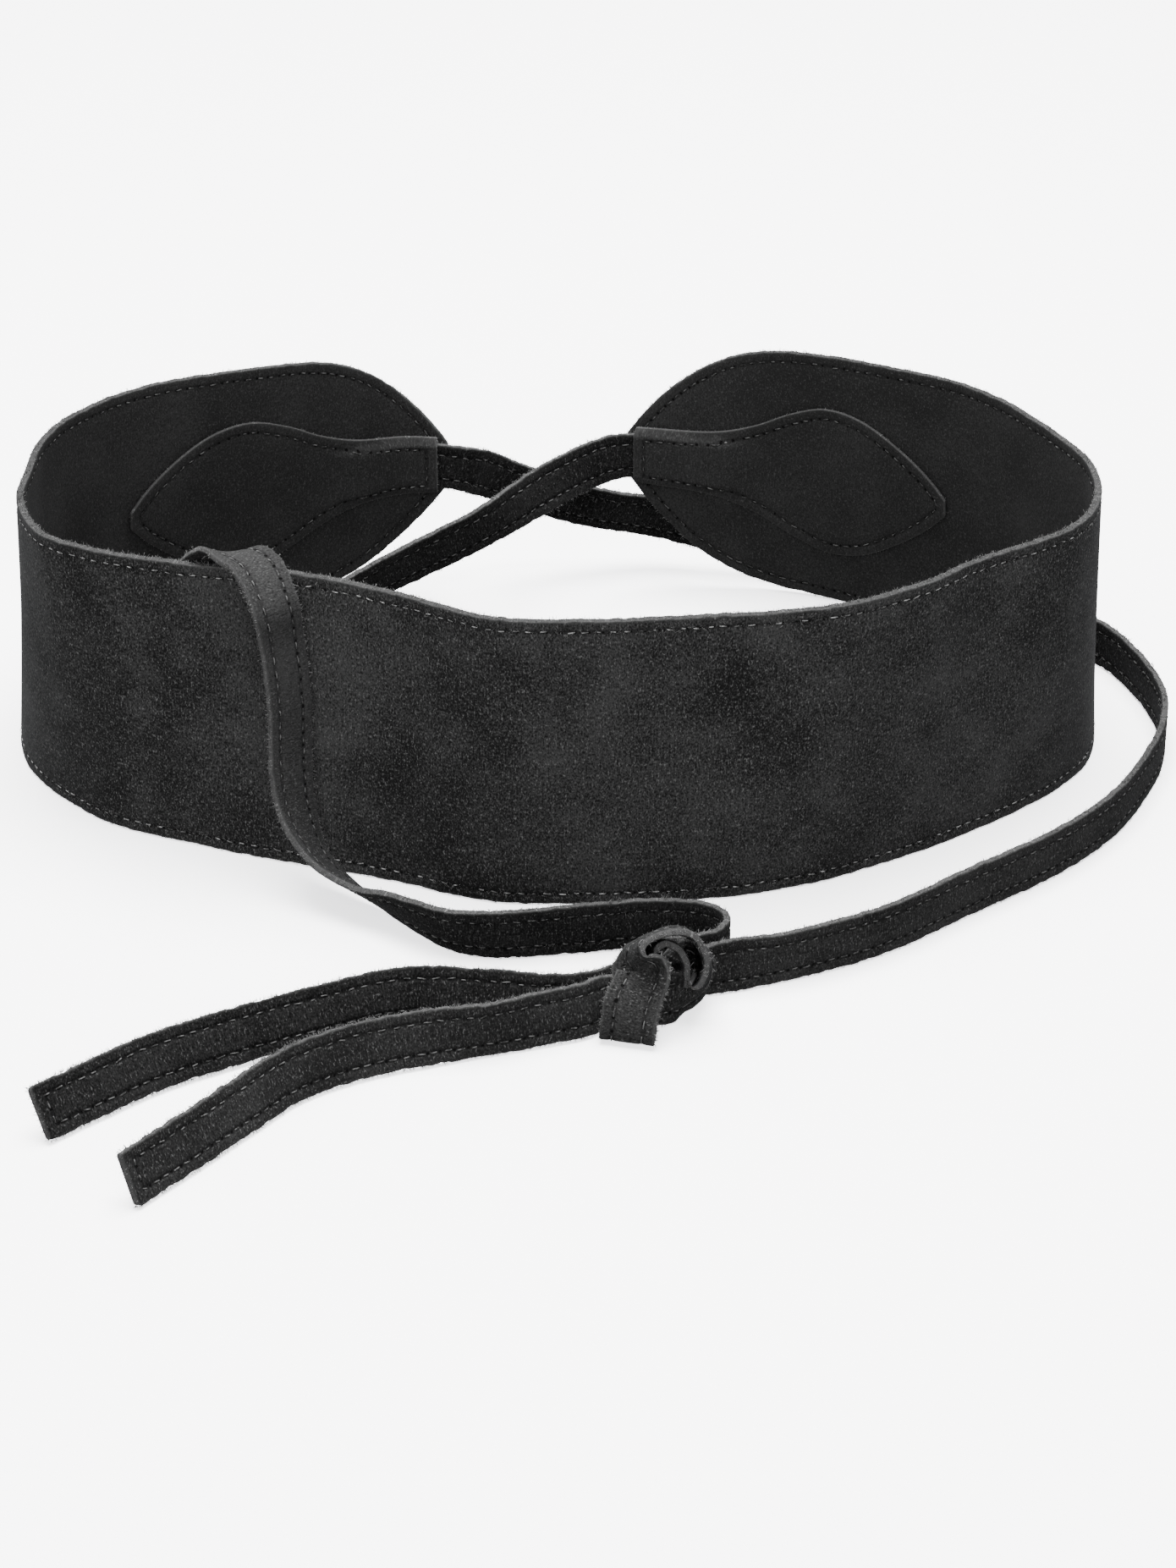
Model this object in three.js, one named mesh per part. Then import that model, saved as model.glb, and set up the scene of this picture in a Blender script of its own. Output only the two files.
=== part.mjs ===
// A wide suede waist belt standing on its lower edge as an open ring. Each end is cut to a blunt
// point and carries a leaf-shaped patch on its inner face, from under which a long flat tie comes
// out. The two ties cross at the gap, travel round and are tied together on the floor in front.
// Millimetres, +Z up, +X to the right, +Y away from the front. The origin is on the floor under
// the middle of the band.
import * as THREE from 'three';

// The band is one suede wall, two skins thick, cut 82 mm high.
const BAND_HEIGHT = 82;
const BAND_WALL = 2;
const BAND_STEP = 4;

// Both ends narrow to a blunt tip at mid-height over this length, along a bowed outline.
const TIP_HEIGHT = 13;
const TAPER_LENGTH = 84;
const TAPER_BOW = 3.5;

// The patches are single skins, sewn close to the band and lifted over the tie's hidden end. The
// shares are the places across a patch, from its lower edge to its upper one, that bend.
const PATCH_WALL = 1.2;
const PATCH_START = 3;
const PATCH_STEPS = 25;
const PATCH_SHARES = [-1, -0.86, -0.72, -0.4, 0, 0.4, 0.72, 0.86, 1];
const LIFT_SIDE = 1.4;
const LIFT_RUN = 12;

// Where the sewn-in end of a tie is held, measured from the band's tip.
const SEWN_IN = [26, 21, 15, 9, 4];
const TIE_HIDDEN = SEWN_IN[0];

// The ties are flat straps of two skins, with softly cut edges.
const TIE_WIDTH = 14;
const TIE_THICKNESS = 2.2;
const TIE_CHAMFER = 0.6;
const STEPS_PER_ROW = 3;

// Neighbours that touch keep this gap, and a sewn-in end has a little more room.
const GAP = 0.3;
const SEWN_GAP = 0.5;

// The middle of the band's wall, seen from above, from the left tip round the front to the right
// tip. lean is how far the top edge stands inside the bottom edge.
const bandPlan = [
  { x: -33.6, y: 92, lean: 0 },
  { x: -48, y: 91.5, lean: 1 },
  { x: -63, y: 85, lean: 5 },
  { x: -86, y: 72, lean: 9 },
  { x: -101, y: 64.5, lean: 8 },
  { x: -114, y: 58, lean: 7 },
  { x: -127, y: 48.5, lean: 7 },
  { x: -138.5, y: 33, lean: 7 },
  { x: -146, y: 12, lean: 7 },
  { x: -146.9, y: -6, lean: 6.5 },
  { x: -145, y: -24, lean: 2 },
  { x: -133, y: -47.5, lean: -4 },
  { x: -118, y: -59.5, lean: -1 },
  { x: -92, y: -69.5, lean: 2.5 },
  { x: -67, y: -76.5, lean: 6.5 },
  { x: -42, y: -87, lean: 4.5 },
  { x: -17, y: -99.5, lean: 0 },
  { x: 7, y: -101, lean: -1 },
  { x: 41, y: -98, lean: -1 },
  { x: 68, y: -91.5, lean: -4.5 },
  { x: 93, y: -77, lean: -4 },
  { x: 107, y: -65.5, lean: -2 },
  { x: 134, y: -43, lean: -4 },
  { x: 144, y: -26, lean: 0 },
  { x: 147, y: -6, lean: 5 },
  { x: 144.7, y: 9, lean: 7 },
  { x: 138, y: 24, lean: 7 },
  { x: 127, y: 44.5, lean: 8 },
  { x: 114.5, y: 58.5, lean: 8 },
  { x: 82, y: 78, lean: 9.5 },
  { x: 61.5, y: 87.5, lean: 7 },
  { x: 48, y: 92.3, lean: 3 },
  { x: 20, y: 100.7, lean: 0 },
];

// Half of the patch's width along its length, from its straight end near the tip.
const patchOutline = [
  { along: 0, half: 8.8 },
  { along: 25, half: 10.5 },
  { along: 38, half: 14.5 },
  { along: 50, half: 20.5 },
  { along: 61, half: 24 },
  { along: 72, half: 22.5 },
  { along: 84, half: 16 },
  { along: 94, half: 8.5 },
  { along: 100, half: 2.5 },
];

// The ties' middle lines from the tips on, with the direction across the strap from one edge to
// the other.
const leftTieRoute = [
  { x: -26.5, y: 91.5, z: 38.5, acrossX: 0.1, acrossY: 0, acrossZ: 1 },
  { x: -22.5, y: 97, z: 35, acrossX: 0.2, acrossY: 0.1, acrossZ: 1 },
  { x: -11, y: 101.5, z: 28.5, acrossX: 0.4, acrossY: 0, acrossZ: 0.9 },
  { x: 9, y: 105.5, z: 20.5, acrossX: 0.3, acrossY: -0.15, acrossZ: 1 },
  { x: 29, y: 107.5, z: 16.2, acrossX: 0.2, acrossY: -0.15, acrossZ: 1 },
  { x: 56, y: 102, z: 11.3, acrossX: 0.2, acrossY: 0, acrossZ: 1 },
  { x: 90, y: 90, z: 7.3, acrossX: 0, acrossY: 0, acrossZ: 1 },
  { x: 120, y: 72.5, z: 7.1, acrossX: 0, acrossY: 0, acrossZ: 1 },
  { x: 143, y: 54, z: 7.1, acrossX: 0, acrossY: 0, acrossZ: 1 },
  { x: 157, y: 38, z: 7.1, acrossX: 0, acrossY: 0, acrossZ: 1 },
  { x: 165, y: 18, z: 7.1, acrossX: 0, acrossY: 0, acrossZ: 1 },
  { x: 168.8, y: -6, z: 7.1, acrossX: 0, acrossY: 0, acrossZ: 1 },
  { x: 166, y: -25, z: 7.1, acrossX: 0, acrossY: 0, acrossZ: 1 },
  { x: 161, y: -39.5, z: 7.1, acrossX: 0, acrossY: 0, acrossZ: 1 },
  { x: 149, y: -64, z: 7.1, acrossX: 0, acrossY: 0, acrossZ: 1 },
  { x: 132, y: -85, z: 7.1, acrossX: 0, acrossY: 0, acrossZ: 1 },
  { x: 106.5, y: -107, z: 7.1, acrossX: 0, acrossY: 0, acrossZ: 1 },
  { x: 82, y: -127.5, z: 7.1, acrossX: 0, acrossY: 0, acrossZ: 1 },
  { x: 59, y: -139.5, z: 7.1, acrossX: 0, acrossY: 0, acrossZ: 1 },
  { x: 46, y: -143.8, z: 7, acrossX: 0, acrossY: 0.15, acrossZ: 1 },
  { x: 39, y: -146.2, z: 6.9, acrossX: 0, acrossY: 0.1, acrossZ: 1 },
  { x: 34.5, y: -148, z: 7, acrossX: 0, acrossY: -0.1, acrossZ: 1 },
  { x: 32.6, y: -149.4, z: 8.6, acrossX: -0.35, acrossY: -0.5, acrossZ: 0.8 },
  { x: 32, y: -152, z: 11, acrossX: -0.3, acrossY: -0.75, acrossZ: 0.6 },
  { x: 31.6, y: -154, z: 13.6, acrossX: -0.05, acrossY: -0.88, acrossZ: 0.47 },
  { x: 30.8, y: -154.4, z: 16.2, acrossX: 0, acrossY: -0.88, acrossZ: 0.47 },
  { x: 29, y: -154.4, z: 18.3, acrossX: 0, acrossY: -0.88, acrossZ: 0.47 },
  { x: 25.9, y: -154.8, z: 19.4, acrossX: 0, acrossY: -0.88, acrossZ: 0.47 },
  { x: 23, y: -156, z: 18.9, acrossX: 0.15, acrossY: -0.9, acrossZ: 0.35 },
  { x: 21.5, y: -156.9, z: 17.6, acrossX: 0.5, acrossY: -0.85, acrossZ: 0 },
  { x: 20.9, y: -159.2, z: 15.4, acrossX: 0.85, acrossY: -0.45, acrossZ: -0.1 },
  { x: 20.4, y: -162.2, z: 12.1, acrossX: 0.96, acrossY: -0.15, acrossZ: 0 },
  { x: 19, y: -165.4, z: 7.8, acrossX: 0.97, acrossY: -0.22, acrossZ: 0 },
  { x: 18.2, y: -167.6, z: 4, acrossX: 0.97, acrossY: -0.26, acrossZ: 0 },
  { x: 17.7, y: -169.2, z: 1.4, acrossX: 0.97, acrossY: -0.26, acrossZ: 0 },
  { x: 17.5, y: -171, z: 1.8, acrossX: 0.965, acrossY: -0.26, acrossZ: 0 },
  { x: 17.9, y: -170.8, z: 5.3, acrossX: 0.97, acrossY: -0.23, acrossZ: -0.03 },
  { x: 18.7, y: -168.7, z: 10, acrossX: 0.97, acrossY: -0.21, acrossZ: -0.05 },
  { x: 20.8, y: -165.2, z: 13.6, acrossX: 0.96, acrossY: -0.27, acrossZ: 0.02 },
  { x: 21.9, y: -162.6, z: 16.4, acrossX: 0.86, acrossY: -0.48, acrossZ: 0.1 },
  { x: 19.8, y: -161.2, z: 19, acrossX: 0.5, acrossY: -0.83, acrossZ: 0.25 },
  { x: 20.6, y: -159.8, z: 21.9, acrossX: 0.1, acrossY: -0.88, acrossZ: 0.45 },
  { x: 27.2, y: -157.2, z: 23.8, acrossX: 0, acrossY: -0.88, acrossZ: 0.47 },
  { x: 32.4, y: -155.2, z: 22.1, acrossX: 0, acrossY: -0.88, acrossZ: 0.47 },
  { x: 35.9, y: -155.1, z: 18, acrossX: 0, acrossY: -0.88, acrossZ: 0.47 },
  { x: 37.2, y: -155.7, z: 12.8, acrossX: -0.15, acrossY: -0.86, acrossZ: 0.48 },
  { x: 36.2, y: -155.7, z: 8.8, acrossX: -0.2, acrossY: -0.85, acrossZ: 0.5 },
  { x: 33.6, y: -156.6, z: 6.2, acrossX: -0.2, acrossY: -0.6, acrossZ: 0.78 },
  { x: 29.6, y: -159.4, z: 6.8, acrossX: -0.2, acrossY: -0.05, acrossZ: 0.98 },
  { x: 24.8, y: -160.4, z: 6.7, acrossX: 0, acrossY: 0.28, acrossZ: 0.96 },
  { x: 20, y: -160.6, z: 6.6, acrossX: 0, acrossY: 0.33, acrossZ: 0.94 },
  { x: 15.5, y: -161.7, z: 6.6, acrossX: 0, acrossY: 0.33, acrossZ: 0.94 },
  { x: 11, y: -163, z: 6.6, acrossX: 0, acrossY: 0.3, acrossZ: 0.95 },
  { x: 7, y: -166, z: 6.8, acrossX: -0.05, acrossY: 0.27, acrossZ: 0.96 },
  { x: 0, y: -168.7, z: 6.9, acrossX: -0.1, acrossY: 0.25, acrossZ: 0.96 },
  { x: -15.5, y: -174.8, z: 7.1, acrossX: -0.05, acrossY: 0.1, acrossZ: 0.99 },
  { x: -33, y: -179.2, z: 6.8, acrossX: -0.1, acrossY: 0.35, acrossZ: 0.93 },
  { x: -48.6, y: -185.5, z: 6.7, acrossX: -0.2, acrossY: 0.33, acrossZ: 0.93 },
  { x: -62.5, y: -195.3, z: 6.7, acrossX: -0.27, acrossY: 0.25, acrossZ: 0.93 },
  { x: -71.8, y: -207, z: 6.7, acrossX: -0.3, acrossY: 0.25, acrossZ: 0.92 },
  { x: -84.6, y: -224.5, z: 6.7, acrossX: -0.3, acrossY: 0.22, acrossZ: 0.93 },
  { x: -97.3, y: -240.7, z: 6.7, acrossX: -0.3, acrossY: 0.22, acrossZ: 0.93 },
];
const rightTieRoute = [
  { x: 16.5, y: 96, z: 41, acrossX: 0, acrossY: 0.1, acrossZ: 1 },
  { x: 10, y: 92.4, z: 40.5, acrossX: 0, acrossY: 0.2, acrossZ: 1 },
  { x: -4, y: 80, z: 38.2, acrossX: 0, acrossY: 0.3, acrossZ: 1 },
  { x: -23, y: 65, z: 32, acrossX: 0, acrossY: -0.1, acrossZ: 1 },
  { x: -54, y: 45, z: 23.8, acrossX: 0, acrossY: -0.25, acrossZ: 1 },
  { x: -82, y: 25, z: 14, acrossX: 0, acrossY: -0.15, acrossZ: 1 },
  { x: -104, y: 3, z: 8.2, acrossX: 0, acrossY: 0, acrossZ: 1 },
  { x: -119, y: -21, z: 10, acrossX: 0, acrossY: 0.1, acrossZ: 1 },
  { x: -121, y: -38, z: 24, acrossX: -0.4, acrossY: 0.2, acrossZ: 0.8 },
  { x: -110, y: -53, z: 50, acrossX: -0.8, acrossY: 0.1, acrossZ: 0.4 },
  { x: -94, y: -62.8, z: 74, acrossX: -0.85, acrossY: 0.1, acrossZ: 0.3 },
  { x: -84.5, y: -68, z: 84.3, acrossX: -0.85, acrossY: -0.1, acrossZ: 0 },
  { x: -77, y: -75, z: 84.6, acrossX: -0.8, acrossY: -0.45, acrossZ: 0 },
  { x: -71.9, y: -82.6, z: 76.5, acrossX: -0.76, acrossY: -0.6, acrossZ: 0 },
  { x: -70.4, y: -82.8, z: 66, acrossX: -0.73, acrossY: -0.68, acrossZ: 0 },
  { x: -69, y: -84.8, z: 50, acrossX: -0.72, acrossY: -0.69, acrossZ: 0 },
  { x: -69, y: -87.5, z: 33, acrossX: -0.71, acrossY: -0.68, acrossZ: 0.1 },
  { x: -67.6, y: -91.2, z: 22, acrossX: -0.6, acrossY: -0.75, acrossZ: 0.2 },
  { x: -62.2, y: -97.8, z: 12, acrossX: -0.3, acrossY: -0.9, acrossZ: 0.35 },
  { x: -51.8, y: -106, z: 6.8, acrossX: 0, acrossY: -0.88, acrossZ: 0.47 },
  { x: -44, y: -112.2, z: 6.1, acrossX: 0, acrossY: -0.7, acrossZ: 0.7 },
  { x: -35.6, y: -120.2, z: 6.6, acrossX: 0, acrossY: -0.5, acrossZ: 0.87 },
  { x: -27.6, y: -126.6, z: 7, acrossX: 0, acrossY: -0.3, acrossZ: 0.95 },
  { x: -17.7, y: -129.3, z: 7.1, acrossX: 0, acrossY: -0.1, acrossZ: 1 },
  { x: 5.4, y: -126.3, z: 7.1, acrossX: 0, acrossY: 0, acrossZ: 1 },
  { x: 19.2, y: -124, z: 7.1, acrossX: 0, acrossY: 0, acrossZ: 1 },
  { x: 33, y: -123.8, z: 7.1, acrossX: 0, acrossY: 0, acrossZ: 1 },
  { x: 41, y: -127.5, z: 7.1, acrossX: 0, acrossY: 0, acrossZ: 1 },
  { x: 43, y: -133, z: 7.1, acrossX: 0, acrossY: 0, acrossZ: 1 },
  { x: 40, y: -138.5, z: 7.1, acrossX: 0, acrossY: 0, acrossZ: 1 },
  { x: 33, y: -142.6, z: 6.9, acrossX: 0, acrossY: 0.2, acrossZ: 0.98 },
  { x: 27, y: -144.4, z: 6.6, acrossX: 0, acrossY: 0.4, acrossZ: 0.92 },
  { x: 22, y: -146.4, z: 6.4, acrossX: -0.15, acrossY: 0.45, acrossZ: 0.88 },
  { x: 19.3, y: -150.2, z: 6.1, acrossX: -0.42, acrossY: 0.28, acrossZ: 0.86 },
  { x: 17.8, y: -154.2, z: 6, acrossX: -0.5, acrossY: 0.2, acrossZ: 0.84 },
  { x: 14.7, y: -157.2, z: 6.2, acrossX: -0.3, acrossY: 0.35, acrossZ: 0.88 },
  { x: 10.5, y: -159.5, z: 6.5, acrossX: -0.1, acrossY: 0.3, acrossZ: 0.94 },
  { x: 5, y: -161.2, z: 6.6, acrossX: 0, acrossY: 0.36, acrossZ: 0.93 },
  { x: -4, y: -161.3, z: 6.6, acrossX: 0, acrossY: 0.4, acrossZ: 0.92 },
  { x: -16, y: -159.4, z: 6.6, acrossX: 0, acrossY: 0.45, acrossZ: 0.9 },
  { x: -36, y: -157.8, z: 6.4, acrossX: 0, acrossY: 0.5, acrossZ: 0.87 },
  { x: -58.5, y: -167.2, z: 6.4, acrossX: -0.2, acrossY: 0.45, acrossZ: 0.87 },
  { x: -78.5, y: -178, z: 6.4, acrossX: -0.25, acrossY: 0.45, acrossZ: 0.87 },
  { x: -96, y: -189.3, z: 6.4, acrossX: -0.3, acrossY: 0.4, acrossZ: 0.87 },
  { x: -110, y: -202, z: 6.4, acrossX: -0.35, acrossY: 0.35, acrossZ: 0.87 },
  { x: -121, y: -212.7, z: 6.4, acrossX: -0.35, acrossY: 0.35, acrossZ: 0.87 },
];

// A smooth line through the rows' named columns.
function smoothLine(rows, [first, second, third]) {
  const points = rows.map((row) => new THREE.Vector3(row[first], row[second], row[third]));
  return new THREE.CatmullRomCurve3(points, false, 'centripetal');
}

// Straight interpolation in a short table.
function lookUp(rows, at, from, to) {
  const next = rows.findIndex((row) => row[from] > at);
  if (next <= 0) return next === 0 ? rows[0][to] : rows[rows.length - 1][to];
  const low = rows[next - 1];
  const high = rows[next];
  return THREE.MathUtils.mapLinear(at, low[from], high[from], low[to], high[to]);
}

// A closed body from rings of points that follow each other, each ring in the same turning sense.
function bodyThrough(rings, name, material) {
  const sides = rings[0].length;
  const position = rings.flat().flatMap((point) => [point.x, point.y, point.z]);
  const index = [];
  for (let ring = 0; ring + 1 < rings.length; ring += 1) {
    for (let side = 0; side < sides; side += 1) {
      const a = ring * sides + side;
      const b = ring * sides + ((side + 1) % sides);
      index.push(a, a + sides, b, b, a + sides, b + sides);
    }
  }
  const last = (rings.length - 1) * sides;
  for (let side = 1; side + 1 < sides; side += 1) {
    index.push(0, side, side + 1, last, last + side + 1, last + side);
  }
  const geometry = new THREE.BufferGeometry();
  geometry.setAttribute('position', new THREE.Float32BufferAttribute(position, 3));
  geometry.setIndex(index);
  geometry.computeVertexNormals();
  const mesh = new THREE.Mesh(geometry, material);
  mesh.name = name;
  return mesh;
}

function suede(color, roughness) {
  return new THREE.MeshStandardMaterial({ color, roughness, metalness: 0 });
}

// The wall's middle line, measured along its length, with z holding the lean.
const bandLine = smoothLine(bandPlan, ['x', 'y', 'lean']);
bandLine.arcLengthDivisions = 2000;
const BAND_LENGTH = bandLine.getLength();

// A point on the wall: along from the left tip, at a height, and inwards from the middle line.
function onWall(along, height, inwards) {
  const share = THREE.MathUtils.clamp(along / BAND_LENGTH, 0, 1);
  const middle = bandLine.getPointAt(share);
  const tangent = bandLine.getTangentAt(share);
  const inward = new THREE.Vector3(-tangent.y, tangent.x, 0).normalize();
  const lean = middle.z * (height / BAND_HEIGHT - 0.5);
  return new THREE.Vector3(middle.x, middle.y, height).addScaledVector(inward, inwards + lean);
}

function bandHalfHeight(along) {
  const fromTip = Math.min(along, BAND_LENGTH - along);
  const rise = 1 - (1 - Math.min(fromTip / TAPER_LENGTH, 1)) ** TAPER_BOW;
  return THREE.MathUtils.lerp(TIP_HEIGHT, BAND_HEIGHT, rise) / 2;
}

function makeBand() {
  const steps = Math.round(BAND_LENGTH / BAND_STEP);
  const rings = [];
  for (let step = 0; step <= steps; step += 1) {
    const along = (BAND_LENGTH * step) / steps;
    const low = BAND_HEIGHT / 2 - bandHalfHeight(along);
    const high = BAND_HEIGHT / 2 + bandHalfHeight(along);
    rings.push([
      onWall(along, low, -BAND_WALL / 2),
      onWall(along, high, -BAND_WALL / 2),
      onWall(along, high, BAND_WALL / 2),
      onWall(along, low, BAND_WALL / 2),
    ]);
  }
  return bodyThrough(rings, 'band', suede(0x2c2c2e, 0.95));
}

// A patch on the inner face, from its straight end at the tip. direction is 1 from the left tip
// and -1 from the right tip.
function makePatch(name, direction) {
  const length = patchOutline[patchOutline.length - 1].along;
  const rings = [];
  for (let step = 0; step <= PATCH_STEPS; step += 1) {
    const along = (length * step) / PATCH_STEPS;
    const half = lookUp(patchOutline, along, 'along', 'half');
    const fromTip = PATCH_START + along;
    const place = direction > 0 ? fromTip : BAND_LENGTH - fromTip;
    const lifted = 1 - THREE.MathUtils.smoothstep(fromTip, TIE_HIDDEN + 1, TIE_HIDDEN + LIFT_RUN);
    const under = [];
    const over = [];
    for (const share of PATCH_SHARES) {
      const height = BAND_HEIGHT / 2 + share * half;
      const beside = Math.abs(share * half) - TIE_WIDTH / 2;
      const held = 1 - THREE.MathUtils.smoothstep(beside, SEWN_GAP, LIFT_SIDE);
      const lift = (TIE_THICKNESS + SEWN_GAP + GAP) * lifted * held;
      const inner = BAND_WALL / 2 + GAP + lift;
      under.push(onWall(place, height, inner));
      over.push(onWall(place, height, inner + PATCH_WALL));
    }
    const ring = [...over.reverse(), ...under];
    rings.push(direction > 0 ? ring : ring.reverse());
  }
  return bodyThrough(rings, name, suede(0x1f1f20, 0.95));
}

// The stretch of a tie that is sewn in between the wall and the patch, from its end to the tip.
function hiddenStretch(direction) {
  const inwards = BAND_WALL / 2 + SEWN_GAP + TIE_THICKNESS / 2;
  return SEWN_IN.map((fromTip) => {
    const place = direction > 0 ? fromTip : BAND_LENGTH - fromTip;
    const { x, y, z } = onWall(place, BAND_HEIGHT / 2, inwards);
    return { x, y, z, acrossX: 0, acrossY: 0, acrossZ: 1 };
  });
}

// A flat strap along its route: a bevelled section turned by the direction across the strap, and
// raised where its lower edge would pass below the floor.
function makeTie(name, route) {
  const line = smoothLine(route, ['x', 'y', 'z']);
  const acrossLine = smoothLine(route, ['acrossX', 'acrossY', 'acrossZ']);
  const steps = (route.length - 1) * STEPS_PER_ROW;
  const halfWidth = TIE_WIDTH / 2;
  const halfThick = TIE_THICKNESS / 2;
  const section = [
    { width: -halfWidth, thick: -halfThick + TIE_CHAMFER },
    { width: -halfWidth + TIE_CHAMFER, thick: -halfThick },
    { width: halfWidth - TIE_CHAMFER, thick: -halfThick },
    { width: halfWidth, thick: -halfThick + TIE_CHAMFER },
    { width: halfWidth, thick: halfThick - TIE_CHAMFER },
    { width: halfWidth - TIE_CHAMFER, thick: halfThick },
    { width: -halfWidth + TIE_CHAMFER, thick: halfThick },
    { width: -halfWidth, thick: halfThick - TIE_CHAMFER },
  ];
  const rings = [];
  for (let step = 0; step <= steps; step += 1) {
    const at = step / steps;
    const centre = line.getPoint(at);
    const tangent = line.getTangent(at);
    const across = acrossLine.getPoint(at);
    across.addScaledVector(tangent, -across.dot(tangent)).normalize();
    const face = new THREE.Vector3().crossVectors(across, tangent);
    const ring = section.map(({ width, thick }) => centre
      .clone()
      .addScaledVector(across, width)
      .addScaledVector(face, thick));
    const sunk = Math.min(0, ...ring.map((point) => point.z));
    ring.forEach((point) => point.setZ(point.z - sunk));
    rings.push(ring);
  }
  return bodyThrough(rings, name, suede(0x262627, 0.95));
}

const belt = new THREE.Group();
belt.add(makeBand());
belt.add(makePatch('patch_left', 1));
belt.add(makePatch('patch_right', -1));
belt.add(makeTie('tie_left', [...hiddenStretch(1), ...leftTieRoute]));
belt.add(makeTie('tie_right', [...hiddenStretch(-1), ...rightTieRoute]));

export default belt;
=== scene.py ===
import math
import random

import bpy
import numpy as np
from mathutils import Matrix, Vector, kdtree, noise


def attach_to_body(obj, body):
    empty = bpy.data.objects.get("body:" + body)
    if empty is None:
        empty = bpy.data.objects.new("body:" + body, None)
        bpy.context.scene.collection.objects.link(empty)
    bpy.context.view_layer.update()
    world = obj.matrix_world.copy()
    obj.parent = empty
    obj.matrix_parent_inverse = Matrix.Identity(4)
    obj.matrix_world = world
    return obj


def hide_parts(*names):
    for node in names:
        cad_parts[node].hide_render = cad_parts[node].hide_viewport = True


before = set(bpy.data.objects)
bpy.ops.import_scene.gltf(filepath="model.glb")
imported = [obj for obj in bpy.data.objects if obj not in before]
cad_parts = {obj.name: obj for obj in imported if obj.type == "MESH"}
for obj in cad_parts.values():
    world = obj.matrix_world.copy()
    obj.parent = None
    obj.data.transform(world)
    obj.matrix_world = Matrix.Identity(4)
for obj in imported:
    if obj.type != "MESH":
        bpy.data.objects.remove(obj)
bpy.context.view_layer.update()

random.seed(11)

# The camera looks at the front of the belt from 28 degrees above the floor and 1.1 m away, through
# a long lens.
CAMERA_AIM = (0.008, -0.035, 0.0)
CAMERA_RISE = math.radians(28)
CAMERA_DISTANCE = 1.1
CAMERA_LENS = 92
CAMERA_SENSOR = 36
CAMERA_REACH = 30
bpy.ops.object.select_all(action="DESELECT")
bpy.ops.object.camera_add(
    location=(
        CAMERA_AIM[0],
        CAMERA_AIM[1] - CAMERA_DISTANCE * math.cos(CAMERA_RISE),
        CAMERA_DISTANCE * math.sin(CAMERA_RISE),
    ),
    rotation=(math.pi / 2 - CAMERA_RISE, 0, 0),
)
camera = bpy.context.object
camera.name = "camera"
camera.data.sensor_width = CAMERA_SENSOR
camera.data.lens = CAMERA_LENS
camera.data.clip_end = CAMERA_REACH
bpy.context.scene.camera = camera

# The belt's wall of suede stands on its lower edge as an open ring. Its line, seen from above, goes
# from the left tip round the front to the right tip, and the ties and patches are placed by it too.
# Columns: x, y, and how far the top edge leans inwards.
BAND_HEIGHT = 0.082
BAND_WALL = 0.002
TOUCHING = 1e-6
WALL_PLAN = [
    (-0.0336, 0.092, 0),
    (-0.048, 0.0915, 0.001),
    (-0.063, 0.085, 0.005),
    (-0.086, 0.072, 0.009),
    (-0.101, 0.0645, 0.008),
    (-0.114, 0.058, 0.007),
    (-0.127, 0.0485, 0.007),
    (-0.1385, 0.033, 0.007),
    (-0.146, 0.012, 0.007),
    (-0.1469, -0.006, 0.0065),
    (-0.145, -0.024, 0.002),
    (-0.133, -0.0475, -0.004),
    (-0.118, -0.0595, -0.001),
    (-0.092, -0.0695, 0.0025),
    (-0.067, -0.0765, 0.0065),
    (-0.042, -0.087, 0.0045),
    (-0.017, -0.0995, 0),
    (0.007, -0.101, -0.001),
    (0.041, -0.098, -0.001),
    (0.068, -0.0915, -0.0045),
    (0.093, -0.077, -0.004),
    (0.107, -0.0655, -0.002),
    (0.134, -0.043, -0.004),
    (0.144, -0.026, 0),
    (0.147, -0.006, 0.005),
    (0.1447, 0.009, 0.007),
    (0.138, 0.024, 0.007),
    (0.127, 0.0445, 0.008),
    (0.1145, 0.0585, 0.008),
    (0.082, 0.078, 0.0095),
    (0.0615, 0.0875, 0.007),
    (0.048, 0.0923, 0.003),
    (0.02, 0.1007, 0),
]


def smooth(rows, fineness=40):
    """Points along a centripetal Catmull-Rom line through the rows."""
    rows = np.array(rows, dtype=float)
    rows = np.vstack([2 * rows[0] - rows[1], rows, 2 * rows[-1] - rows[-2]])
    points = []
    share = np.arange(fineness)[:, None] / fineness
    for before, start, end, after in zip(rows, rows[1:], rows[2:], rows[3:]):
        steps = [
            max(np.linalg.norm(b - a), TOUCHING) ** 0.5
            for a, b in ((before, start), (start, end), (end, after))
        ]
        leave = (start - before) / steps[0] - (end - before) / (steps[0] + steps[1])
        leave = (leave + (end - start) / steps[1]) * steps[1]
        arrive = (end - start) / steps[1] - (after - start) / (steps[1] + steps[2])
        arrive = (arrive + (after - end) / steps[2]) * steps[1]
        points.append(
            start
            + leave * share
            + (3 * (end - start) - 2 * leave - arrive) * share**2
            + (2 * (start - end) + leave + arrive) * share**3
        )
    return np.vstack([*points, rows[-2]])


def run_of(points):
    """The distance along a line at each of its points."""
    return np.append(0, np.cumsum(np.linalg.norm(np.diff(points, axis=0), axis=1)))


wall_points = smooth(WALL_PLAN)
wall_run = run_of(wall_points)
wall_slope = np.gradient(wall_points[:, :2], axis=0)
wall_slope /= np.linalg.norm(wall_slope, axis=1)[:, None]
BAND_LENGTH = wall_run[-1]


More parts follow.
